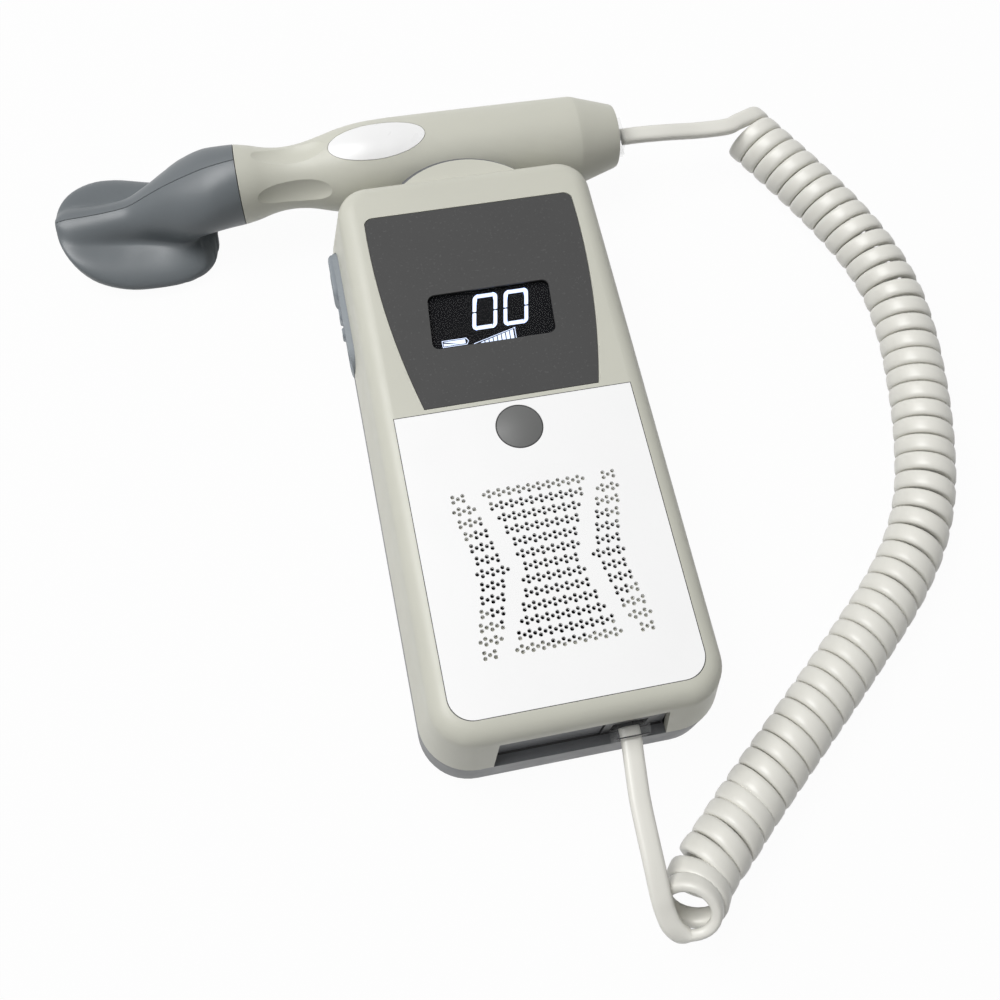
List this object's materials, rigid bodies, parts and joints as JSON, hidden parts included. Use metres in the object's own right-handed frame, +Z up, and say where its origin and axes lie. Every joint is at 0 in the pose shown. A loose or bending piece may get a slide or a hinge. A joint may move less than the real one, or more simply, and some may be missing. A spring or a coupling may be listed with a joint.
{
  "type": "vascular doppler",
  "caption": "Handheld vascular doppler: display unit lying on its back, ultrasound probe resting in the cradle at its top end, curly handset cord joining the two.",
  "frame": {"origin": "centre of the display unit's flat rear face, on the surface that it lies on", "axes": "+Z up out of the rear face to the display, +Y along the case towards the probe, +X to the right when the display is read"},
  "size_m": [0.2178, 0.2151, 0.0328],
  "materials": {
    "case_beige": "fine moulded texture, satin",
    "case_slate": "fine moulded texture, satin",
    "head_slate": "smooth satin",
    "grille_white": "smooth satin",
    "label_grey": "matt printed film",
    "lens_clear": "clear glossy",
    "display_black": "glossy",
    "badge_white": "glossy film",
    "button_grey": "satin",
    "key_rubber": "soft matt rubber",
    "board_green": "solder mask",
    "part_black": "satin",
    "cone_black": "matt paper and cloth",
    "magnet_steel": "zinc plated",
    "contact_gold": "gold plated",
    "battery_sleeve": "plain shrink sleeve",
    "screw_steel": "dark zinc",
    "plug_clear": "clear moulded plastic",
    "cord_grey": "smooth vinyl",
    "lens_dark": "smooth matt",
    "crystal_tan": "silvered ceramic"
  },
  "bodies": {
    "case": {"front_shell": "case_beige", "rear_shell": "case_slate", "grille_plate": "grille_white", "face_label": "label_grey", "display_lens": "lens_clear", "display_module": "display_black", "main_board": "board_green", "power_switch": "part_black", "speaker_basket": "part_black", "speaker_cone": "cone_black", "speaker_magnet": "magnet_steel", "key_pad": "key_rubber", "key_board": "board_green", "key_switches": "part_black", "jack_board": "board_green", "case_jack": "part_black", "case_jack_contacts": "contact_gold", "battery_left": "battery_sleeve", "battery_right": "battery_sleeve", "battery_springs": "magnet_steel", "battery_plates": "magnet_steel", "case_screws": "screw_steel", "board_screws": "screw_steel", "case_plug": "plug_clear", "case_plug_contacts": "contact_gold", "case_lead": "cord_grey", "curly_cord": "cord_grey"},
    "power_button": {"power_button": "button_grey"},
    "large_key": {"large_key": "key_rubber"},
    "middle_key": {"middle_key": "key_rubber"},
    "small_key": {"small_key": "key_rubber"},
    "battery_door": {"battery_door": "case_slate"},
    "probe": {"probe_handle": "case_beige", "probe_badge": "badge_white", "head_front_half": "head_slate", "head_rear_half": "head_slate", "contact_face": "lens_dark", "transmit_crystal": "crystal_tan", "receive_crystal": "crystal_tan", "probe_board": "board_green", "probe_jack": "part_black", "probe_jack_contacts": "contact_gold", "probe_plug": "plug_clear", "probe_plug_contacts": "contact_gold", "probe_lead": "cord_grey"}
  },
  "joints": [
    {"name": "power_press", "type": "slide", "parent": "case", "child": "power_button", "axis": [0, 0, -1], "range_m": [0, 0.0008], "stiffness_N_per_m": 900},
    {"name": "large_key_press", "type": "slide", "parent": "case", "child": "large_key", "axis": [1, 0, 0], "range_m": [0, 0.0006], "stiffness_N_per_m": 900},
    {"name": "middle_key_press", "type": "slide", "parent": "case", "child": "middle_key", "axis": [1, 0, 0], "range_m": [0, 0.0006], "stiffness_N_per_m": 900},
    {"name": "small_key_press", "type": "slide", "parent": "case", "child": "small_key", "axis": [1, 0, 0], "range_m": [0, 0.0006], "stiffness_N_per_m": 900},
    {"name": "door_slide", "type": "slide", "parent": "case", "child": "battery_door", "axis": [0, -1, 0], "range_m": [0, 0.004]},
    {"name": "probe_lift_out", "type": "slide", "parent": "case", "child": "probe", "axis": [0, 1, 0], "range_m": [0, 0.03], "deforming": ["curly_cord", "probe_lead", "case_lead"]}
  ]
}
